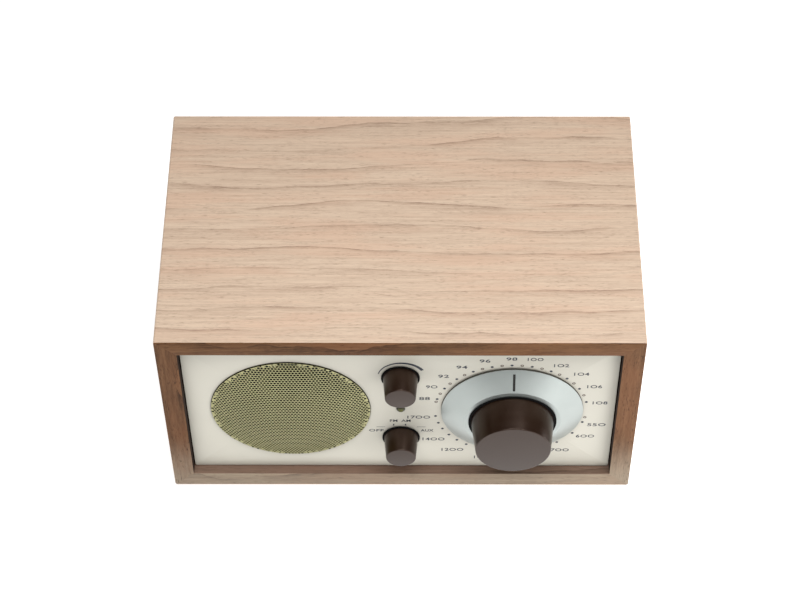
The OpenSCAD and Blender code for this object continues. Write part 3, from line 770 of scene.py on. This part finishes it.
class RADIO_OT_grille(RadioOperator, bpy.types.Operator):
    """Makes the domed speaker grille from a hexagonal lattice of round holes"""

    bl_idname = "radio.grille"
    bl_label = "Speaker grille"

    EDGE = 35.9
    RIM_FORWARD = 0.6  # how far the rim stands in front of the panel
    DOME = 2.3  # power of the dome's profile, flatter in the middle when higher
    FLANGE = 39.5  # radius of the rim's flange behind the panel
    SIDES = 12  # of a hole, with every other corner pulled out to the cell's six
    OVERLAP = 0.4  # how far past the rim a cell's middle may lie, in pitches
    CELL_WELD, RIM_WELD = 0.02, 0.01

    def cell(self, pitch, hole):
        """One six-sided cell in the XZ plane, with a round hole unless its radius is 0."""
        shape = bmesh.new()
        outer = bmesh.ops.create_circle(
            shape, cap_ends=not hole, segments=self.SIDES, radius=pitch / 2
        )["verts"]
        for vert in outer:
            if round(math.atan2(vert.co.y, vert.co.x) * self.SIDES / math.tau) % 2:
                vert.co *= 2 / math.sqrt(3)
        if hole:
            inner = bmesh.ops.create_circle(shape, segments=self.SIDES, radius=hole)["verts"]
            loops = {e for v in inner + outer for e in v.link_edges}
            bmesh.ops.bridge_loops(shape, edges=list(loops))
        bmesh.ops.rotate(shape, matrix=UPRIGHT, verts=shape.verts)
        return baked(shape, "grille_cell")

    def make(self):
        sizes = self.sizes
        pitch, sheet = sizes.hole_pitch / MM, sizes.sheet / MM
        edge = self.EDGE
        apex_y, rim_y = GRILLE_LOW.y, FACE - self.RIM_FORWARD
        open_cell, closed_cell = self.cell(pitch, sizes.hole_radius / MM), self.cell(pitch, 0)
        shape = bmesh.new()
        row_height = pitch * math.sqrt(3) / 2
        rows = int(edge / row_height) + 1
        for row in range(-rows, rows + 1):
            for column in range(-rows, rows + 1):
                place = Vector(((column + (row % 2) / 2) * pitch, 0, row * row_height))
                if place.length > edge + pitch * self.OVERLAP:
                    continue
                mesh = open_cell if place.length < edge else closed_cell
                mesh.transform(Matrix.Translation(place))
                shape.from_mesh(mesh)
                mesh.transform(Matrix.Translation(-place))
        for mesh in (open_cell, closed_cell):
            bpy.data.meshes.remove(mesh)
        bmesh.ops.remove_doubles(shape, verts=shape.verts, dist=self.CELL_WELD)
        for vert in shape.verts:
            reach = vert.co.length
            if reach > edge:
                vert.co *= edge / reach
                reach = edge
            vert.co.y = apex_y + (rim_y - apex_y) * (reach / edge) ** self.DOME
        bmesh.ops.remove_doubles(shape, verts=shape.verts, dist=self.RIM_WELD)
        bmesh.ops.recalc_face_normals(shape, faces=shape.faces)
        if sum(f.normal.y for f in shape.faces) > 0:
            bmesh.ops.reverse_faces(shape, faces=shape.faces)
        bmesh.ops.solidify(shape, geom=shape.faces[:], thickness=sheet)
        bmesh.ops.translate(shape, vec=(SPEAKER_X, 0, MIDDLE), verts=shape.verts)
        paint = grained_finish(
            "grille_paint", self.colours.grille[:],
            variation=0.08, roughness=0.45, grain=3.0, height=0.01,
            Metallic=0.2, Specular_IOR_Level=0.4,
        )
        finished("grille_mesh", shape, paint, "radio", ["speaker_grille"])

        ring = bmesh.new()
        inner, outer = edge - 0.8, edge + 0.05
        near, back = FACE + 3.0, FACE + 3.6
        lip = edge - 0.4, rim_y + 0.3
        profile = [
            lip, (edge - 0.1, rim_y), (outer, rim_y), (outer, near), (self.FLANGE, near),
            (self.FLANGE, back), (inner, back), (inner, rim_y + 0.6), lip,
        ]
        lathe(ring, profile, SPEAKER_X, MIDDLE, 144)
        # The rim ring is painted near black: painted shade on the raised rim's side and in the gap round it.
        painted_shade_rim_paint = grained_finish(
            "grille_rim_painted_shade", (0.035, 0.032, 0.014),
            variation=0.08, roughness=0.7, grain=3.0, height=0.01,
            Specular_IOR_Level=0.1,
        )
        finished("grille_rim", ring, painted_shade_rim_paint, "radio")


class RADIO_OT_knobs(RadioOperator, bpy.types.Operator):
    """Makes the volume, selector and tuning knobs"""

    bl_idname = "radio.knobs"
    bl_label = "Knobs"

    # Radii of the foot and the face, and the thickness behind the face
    SMALL, LARGE = (7.8, 6.8, 8.8), (18.6, 16.8, 4.0)
    SHELL, FLANGE_DEPTH = 1.8, 0.4

    def knob(self, name, body, x, z, form):
        """A tapered hollow knob on a thin flange painted black: painted shade in the gap round its foot."""
        foot, face, solid = form
        low, high = span(name)
        front, back, flange = low.y, high.y, (high.x - low.x) / 2
        flange_y, inside = back - self.FLANGE_DEPTH, front + solid
        profile = [
            (0, front), (face, front), (foot, flange_y), (flange, flange_y), (flange, back),
            (foot - self.SHELL, back), (face - self.SHELL, inside), (0, inside),
        ]
        shape = bmesh.new()
        lathe(shape, rounded(profile, {1: 0.45, 3: 0.1, 5: 0.25}), x, z, 128)
        for polygon in shape.faces:
            on_flange = polygon.calc_center_median().y > flange_y - 0.01
            polygon.material_index = 1 if on_flange else 0
        plastic = turned_finish(
            name + "_plastic", (x, z), self.colours.knob[:], roughness=0.3, height=0.0012, warm=True
        )
        # The flange is painted near black and dull: painted shade in the gap round the knob's foot.
        black = turned_finish(
            name + "_painted_shade_flange", (x, z), (0.004, 0.0035, 0.0035), roughness=0.8, specular=0.1
        )
        finished(name + "_shell", shape, [plastic, black], body, [name], sharp=50)

    def make(self):
        self.knob("volume_knob", "volume", 0, VOLUME_Z, self.SMALL)
        self.knob("selector_knob", "selector", 0, SELECTOR_Z, self.SMALL)
        self.knob("tuning_knob", "tuner", DIAL_X, DIAL_Z, self.LARGE)


class RADIO_OT_dial(RadioOperator, bpy.types.Operator):
    """Makes the silver tuning dial and its two pointer lines"""

    bl_idname = "radio.dial"
    bl_label = "Tuning dial"

    BORE, LAND = 5.5, 21.8  # radii of the hole and of the flat middle
    LINE_START, LINE_WIDTH, LINE_LENGTH = 22.7, 1.12, 8.4

    def make(self):
        low, high = span("tuning_dial")
        front, radius, land = low.y, (high.x - low.x) / 2, self.LAND
        rim, back, inside = FACE - 1.2, FACE - 0.3, front + 1.2
        centre = DIAL_X, DIAL_Z
        profile = [
            (self.BORE, front), (land, front), (radius, rim), (radius, back), (radius - 1.6, back),
            (land - 0.4, inside), (self.BORE, inside), (self.BORE, front),
        ]
        shape = bmesh.new()
        lathe(shape, rounded(profile, {1: 1.0, 2: 0.15}), *centre, 180)
        # The disc's outer side takes material 1, painted dark: painted shade on the raised rim's side.
        for face in shape.faces:
            middle = face.calc_center_median()
            reach = math.hypot(middle.x - DIAL_X, middle.z - DIAL_Z)
            painted_shade_side = reach > radius - 0.06 and abs(face.normal.y) < 0.5
            face.material_index = 1 if painted_shade_side else 0
        silver = turned_finish(
            "dial_silver", centre, self.colours.dial[:],
            roughness=0.34, metallic=0.6, rings=4.0, height=0.002,
        )
        # Dark paint for the rim's side: painted shade.
        edge = turned_finish(
            "dial_painted_shade_edge", centre, (0.05, 0.045, 0.035), roughness=0.5, rings=4.0, height=0.002
        )
        finished("dial_disc", shape, [silver, edge], "dial", ["tuning_dial"], sharp=50)

        slope = math.atan2(rim - front, radius - land)
        height = front + (self.LINE_START - land) * math.tan(slope)
        half, length = self.LINE_WIDTH / 2, self.LINE_LENGTH
        lines = bmesh.new()
        for turn in (0, math.pi):
            line = bmesh.new()
            block(line, (-half, -0.03, 0), (half, 0.05, length))
            deep = [e for e in line.edges if abs((e.verts[0].co - e.verts[1].co).y) > 0.05]
            soften(line, deep, 0.15)
            bmesh.ops.rotate(line, matrix=Matrix.Rotation(-slope, 3, "X"), verts=line.verts)
            bmesh.ops.translate(line, vec=(0, height, self.LINE_START), verts=line.verts)
            bmesh.ops.rotate(line, matrix=Matrix.Rotation(turn, 3, "Y"), verts=line.verts)
            bmesh.ops.translate(line, vec=(DIAL_X, 0, DIAL_Z), verts=line.verts)
            join(lines, line)
        ink = grained_finish(
            "pointer_ink", (0.012, 0.01, 0.008),
            variation=0.1, roughness=0.5, grain=5.0, height=0.003,
        )
        finished("dial_pointers", lines, ink, "dial", recalc=True)


class RADIO_OT_lamp(RadioOperator, bpy.types.Operator):
    """Makes the clear olive lens of the power lamp"""

    bl_idname = "radio.lamp"
    bl_label = "Power lamp"

    RADIUS, SHOULDER, DOME_HEIGHT = 2.0, 2.7, 1.0

    def make(self):
        radius, shoulder = self.RADIUS, self.SHOULDER
        near, back = FACE + 3.0, FACE + 4.2
        arc = [math.radians(angle) for angle in range(0, 91, 10)]
        dome = [(radius * math.sin(a), FACE - self.DOME_HEIGHT * math.cos(a)) for a in arc]
        stem = [(radius, near), (shoulder, near), (shoulder, back), (0, back)]
        shape = bmesh.new()
        lathe(shape, dome + stem, 0, MIDDLE, 48)
        finish = Finish(
            "lamp_lens", Coat_Weight=0.1, Coat_Roughness=0.05, Specular_IOR_Level=0.3
        )
        lens = self.colours.lens[:]
        # The lens is painted lighter in its middle and darker towards its edge: a painted highlight and painted
        # shade on the dome.
        reach = finish.radius(0, MIDDLE).step(0.3, radius)
        finish.feed("Base Color", finish.mix(reach, shade(lens, 1.5), shade(lens, 0.3)))
        finish.feed("Roughness", finish.noise(finish.place(), 2.0) * 0.08 + 0.08)
        finished("lamp_dome", shape, finish.material, "radio", ["power_lamp"])


class RADIO_OT_rear(RadioOperator, bpy.types.Operator):
    """Finishes the rear panel, its sockets, the bass port and the feet"""

    bl_idname = "radio.rear"
    bl_label = "Rear and feet"

    BORE_WALL = 4.0  # from the port's flange in to its bore
    THREAD_CREST, THREAD_ROOT, THREAD_PITCH = 4.7, 4.25, 0.8
    SCREW, SCREW_STEM, NUT, FOOT = 2.8, 1.4, 7.0, 7.0  # radii
    CROSS_LENGTH, CROSS_WIDTH = 3.0, 0.56

    def port(self, black):
        low, high = span("bass_port")
        x, z, radius = (low.x + high.x) / 2, (low.z + high.z) / 2, (high.x - low.x) / 2
        bore, tube, flange = radius - self.BORE_WALL, radius - 2, high.y - 1
        profile = [
            (bore, low.y), (tube, low.y), (tube, flange), (radius, flange), (radius, high.y),
            (radius - 3, high.y), (bore, high.y - 2.6), (bore, low.y),
        ]
        shape = bmesh.new()
        lathe(shape, rounded(profile, {4: 0.4, 5: 1.0}), x, z)
        finished("bass_port_tube", shape, black, "radio", ["bass_port"])

    def aerial(self, metal):
        """The aerial socket's threaded barrel and two hexagon nuts."""
        low, high = span("aerial_socket")
        panel = span("rear_panel")[1].y
        x, z = (low.x + high.x) / 2, (low.z + high.z) / 2
        bore, mouth, washer, stem = 0.6, 3.4, panel + 2, 4.6
        profile = [
            (bore, washer), (bore, high.y - 0.3), (mouth, high.y - 0.3), (mouth, high.y),
            (4.2, high.y),
        ]
        y = high.y - self.THREAD_PITCH / 2
        while y > washer + 0.2:
            profile += [(self.THREAD_CREST, y), (self.THREAD_ROOT, y - self.THREAD_PITCH / 2)]
            y -= self.THREAD_PITCH
        profile += [(stem, washer), (stem, low.y), (bore, low.y), (bore, washer)]
        shape = bmesh.new()
        lathe(shape, profile, x, z, 64)
        finished("aerial_barrel", shape, metal, "radio", ["aerial_socket"])
        nuts = bmesh.new()
        for start, end in ((panel, washer), (panel - 5.5, panel - 3)):
            rod(nuts, self.NUT, end - start, (x, (start + end) / 2, z), 6)
        soften(nuts, nuts.edges[:], 0.25)
        finished("aerial_nuts", nuts, metal, "radio")

    def screws(self, metal):
        """Round heads with a cross recess."""
        low, high = span("rear_screws")
        panel, head, stem = span("rear_panel")[1].y, self.SCREW, self.SCREW_STEM
        rows = low.z + head, high.z - head
        places = [(x, z) for x in (low.x + head, high.x - head) for z in rows]
        profile = rounded([
            (0, high.y), (1.7, high.y), (head, panel + 0.9), (head, panel), (stem, panel),
            (stem, low.y), (0, low.y),
        ], {1: 0.5, 2: 0.4})
        shape, cross = bmesh.new(), bmesh.new()
        long, short = self.CROSS_LENGTH / 2, self.CROSS_WIDTH / 2
        for x, z in places:
            part = bmesh.new()
            lathe(part, profile, x, z, 48)
            join(shape, part)
            for wide, tall in ((long, short), (short, long)):
                block(cross, (x - wide, high.y - 1.0, z - tall), (x + wide, high.y + 0.5, z + tall))
        piece = finished("rear_screw_heads", shape, metal, "radio", ["rear_screws"])
        bmesh.ops.scale(cross, vec=(MM,) * 3, verts=cross.verts)
        cutter = linked("recess", baked(cross, "recess"))
        modifier = piece.modifiers.new("recess", "BOOLEAN")
        modifier.operation, modifier.object = "DIFFERENCE", cutter
        modifier.solver, modifier.use_self = "EXACT", True
        graph = bpy.context.evaluated_depsgraph_get()
        done = bpy.data.meshes.new_from_object(piece.evaluated_get(graph))
        piece.modifiers.clear()
        piece.data = done
        bpy.data.objects.remove(cutter)

    def feet(self, rubber):
        low, high = span("rubber_feet")
        foot = self.FOOT
        profile = rounded(
            [(0, 0.5), (3.6, 0.5), (4.2, 0), (6.4, 0), (foot, high.z), (0, high.z)], {3: 0.5}
        )
        shape = bmesh.new()
        for x in (low.x + foot, high.x - foot):
            for y in (low.y + foot, high.y - foot):
                part = bmesh.new()
                spin(part, [(x + r, y, h) for r, h in profile], (x, y, 0), (0, 0, 1), 64)
                join(shape, part)
        finished("feet_rubber", shape, rubber, "radio", ["rubber_feet"], recalc=True)

    def make(self):
        black = grained_finish("rear_plastic", (0.022, 0.022, 0.024), 0.1, 0.5, 1.4, 0.05)
        smooth = grained_finish("socket_plastic", (0.015, 0.015, 0.017), 0.1, 0.36, 3.0, 0.01)
        rubber = grained_finish("foot_rubber", (0.02, 0.02, 0.02), 0.15, 0.75, 2.5, 0.03)
        for name, node, body, material, softening in (
            ("rear_panel_plate", "rear_panel", "radio", black, 0.3),
            ("mains_inlet_body", "mains_inlet", "radio", smooth, 0.4),
            ("audio_socket_bodies", "audio_sockets", "radio", smooth, 0.25),
            ("switch_lever_cap", "aerial_switch_lever", "switch_lever", smooth, 0.3),
        ):
            finished(name, from_cad(node, softening), material, body, [node])
        self.port(smooth)
        self.aerial(metal_finish("nickel_plate", (0.72, 0.70, 0.66), 0.25))
        self.screws(metal_finish("black_zinc", (0.12, 0.12, 0.13), 0.4))
        self.feet(rubber)


class RADIO_OT_inside(RadioOperator, bpy.types.Operator):
    """Gives every part inside the cabinet its own finish"""

    bl_idname = "radio.inside"
    bl_label = "Parts inside"

    # Slot, name, colour, roughness, stretch of its drawn lines, metallic
    METALS = (
        ("steel", "zinc_steel", (0.62, 0.62, 0.63), 0.35),
        ("copper", "enamelled_wire", (0.62, 0.25, 0.10), 0.3, (0.3, 8.0, 8.0)),
        ("gears", "cut_brass", (0.78, 0.57, 0.24), 0.25, (3.0, 0.5, 3.0)),
        ("aluminium", "stamped_aluminium", (0.75, 0.76, 0.77), 0.3),
        ("core", "core_laminations", (0.16, 0.14, 0.12), 0.5, (0.3, 9.0, 0.3), 0.6),
    )
    # Slot, constants, name, colour, variation, roughness, grain, height
    DULL, DULLEST = {"Specular_IOR_Level": 0.1}, {"Specular_IOR_Level": 0.05}
    GLOSSY = {"Coat_Weight": 0.4}
    PLASTICS = (
        ("rubber", DULL, "foam_rubber", (0.015, 0.015, 0.016), 0.2, 0.85, 1.2, 0.05),
        ("cone", DULLEST, "pressed_fibre", (0.012, 0.012, 0.012), 0.25, 0.9, 0.8, 0.08),
        ("magnet", {}, "ferrite", (0.05, 0.05, 0.055), 0.2, 0.7, 1.0, 0.03),
        ("bakelite", {}, "bakelite", (0.10, 0.07, 0.045), 0.3, 0.45, 0.7, 0.02),
        ("board", GLOSSY, "solder_mask", (0.02, 0.13, 0.05), 0.3, 0.35, 0.5, 0.02),
        ("parts", {}, "component_case", (0.06, 0.06, 0.075), 0.3, 0.45, 0.9, 0.02),
        ("black", {}, "inner_plastic", (0.02, 0.02, 0.022), 0.2, 0.6, 1.2, 0.03),
    )

    def make(self):
        wood = (0.70, 0.55, 0.36), (0.58, 0.43, 0.26), (0.36, 0.22, 0.11)
        finishes = {"softwood": veneer_finish("block_wood", 1, wood, 0.7)}
        for slot, *finish in self.METALS:
            finishes[slot] = metal_finish(*finish)
        for slot, constants, *finish in self.PLASTICS:
            finishes[slot] = grained_finish(*finish, **constants)
        slots = {part["node"]: part["material_slot"] for part in frame["record"]["subparts"]}
        for name, node in frame["nodes"].items():
            if node.hide_render:
                continue
            if slots[name] not in finishes:
                raise RuntimeError(f"no finish for {name} ({slots[name]})")
            for entry in node.material_slots:
                entry.material = finishes[slots[name]]


class RADIO_OT_stage(RadioOperator, bpy.types.Operator):
    """Makes the pale floor, the soft lights and the camera"""

    bl_idname = "radio.stage"
    bl_label = "Stage"

    FLOOR_SIZE = 4.0
    # The floor's own glow, from dim to full between two places along X, in millimetres
    GLOW, DIM, GLOW_START, GLOW_END = 1.6, 0.36, -250.0, 450.0
    WORLD = 0.17
    # Name, place, target, size in metres and power in watts
    LIGHTS = (
        ("overhead", (0.15, -0.35, 1.45), (0, 0.02, 0.1), (1.4, 0.45), 22.0),
        ("right_fill", (0.65, -0.55, 0.3), (0, -0.05, 0.06), (0.4, 0.4), 1.5),
    )
    CAMERA_PLACE, CAMERA_TURN = (0.009185, -0.62389, 0.88556), (37.306, 0.402, 0.377)
    SENSOR, LENS = 36.0, 99.86

    def light(self, name, place, target, size, power):
        data = bpy.data.lights.new(name, "AREA")
        data.shape, data.size, data.size_y, data.energy = "RECTANGLE", *size, power
        light = linked(name, data)
        light.location = place
        aim = Vector(target) - Vector(place)
        light.rotation_euler = aim.to_track_quat("-Z", "Y").to_euler()

    def make(self):
        scene = bpy.context.scene
        shape = bmesh.new()
        bmesh.ops.create_grid(shape, x_segments=4, y_segments=4, size=self.FLOOR_SIZE)
        floor = linked("floor", baked(shape, "floor"))
        paper = Finish(
            "floor_paper", Roughness=0.9, Specular_IOR_Level=0.1, Emission_Strength=self.GLOW
        )
        glow = paper.coordinate(0).step(self.GLOW_START, self.GLOW_END)
        paper.feed("Emission Color", paper.mix(glow, (self.DIM,) * 3, (1.0,) * 3))
        cloud = paper.noise(paper.place(), 0.01)
        paper.feed("Base Color", paper.mix(cloud, (0.62,) * 3, (0.6,) * 3))
        floor.data.materials.append(paper.material)

        world = bpy.data.worlds.new("studio")
        world.use_nodes = True
        background = world.node_tree.nodes["Background"].inputs
        background[0].default_value, background[1].default_value = (1, 1, 1, 1), self.WORLD
        scene.world = world
        for light in self.LIGHTS:
            self.light(*light)

        camera_data = bpy.data.cameras.new("camera")
        camera_data.sensor_width = self.SENSOR
        camera_data.lens = self.LENS
        camera = linked("camera", camera_data)
        camera.location = self.CAMERA_PLACE
        camera.rotation_euler = [math.radians(a) for a in self.CAMERA_TURN]
        scene.camera = camera
        scene.view_settings.view_transform = "Standard"


OPERATORS = (
    RADIO_OT_cabinet,
    RADIO_OT_panel,
    RADIO_OT_printing,
    RADIO_OT_grille,
    RADIO_OT_knobs,
    RADIO_OT_dial,
    RADIO_OT_lamp,
    RADIO_OT_rear,
    RADIO_OT_inside,
    RADIO_OT_stage,
)


class RADIO_PT_sidebar(bpy.types.Panel):
    """The radio's tab in the 3D view's sidebar"""

    bl_idname = "RADIO_PT_sidebar"
    bl_label = "Tabletop Radio"
    bl_space_type = "VIEW_3D"
    bl_region_type = "UI"
    bl_category = "Radio"

    def draw(self, context):
        for group in (context.scene.radio_colours, context.scene.radio_sizes):
            column = self.layout.column()
            for name in group.__annotations__:
                column.prop(group, name)
        column = self.layout.column()
        for operator in OPERATORS:
            column.operator(operator.bl_idname)


CLASSES = (RadioColours, RadioSizes, *OPERATORS, RADIO_PT_sidebar)


def register():
    for item in CLASSES:
        bpy.utils.register_class(item)
    bpy.types.Scene.radio_colours = bpy.props.PointerProperty(type=RadioColours)
    bpy.types.Scene.radio_sizes = bpy.props.PointerProperty(type=RadioSizes)


def unregister():
    del bpy.types.Scene.radio_sizes
    del bpy.types.Scene.radio_colours
    for item in reversed(CLASSES):
        bpy.utils.unregister_class(item)


def main():
    register()
    for operator in OPERATORS:
        getattr(bpy.ops.radio, operator.bl_idname.split(".")[1])()


if __name__ == "__main__":
    main()
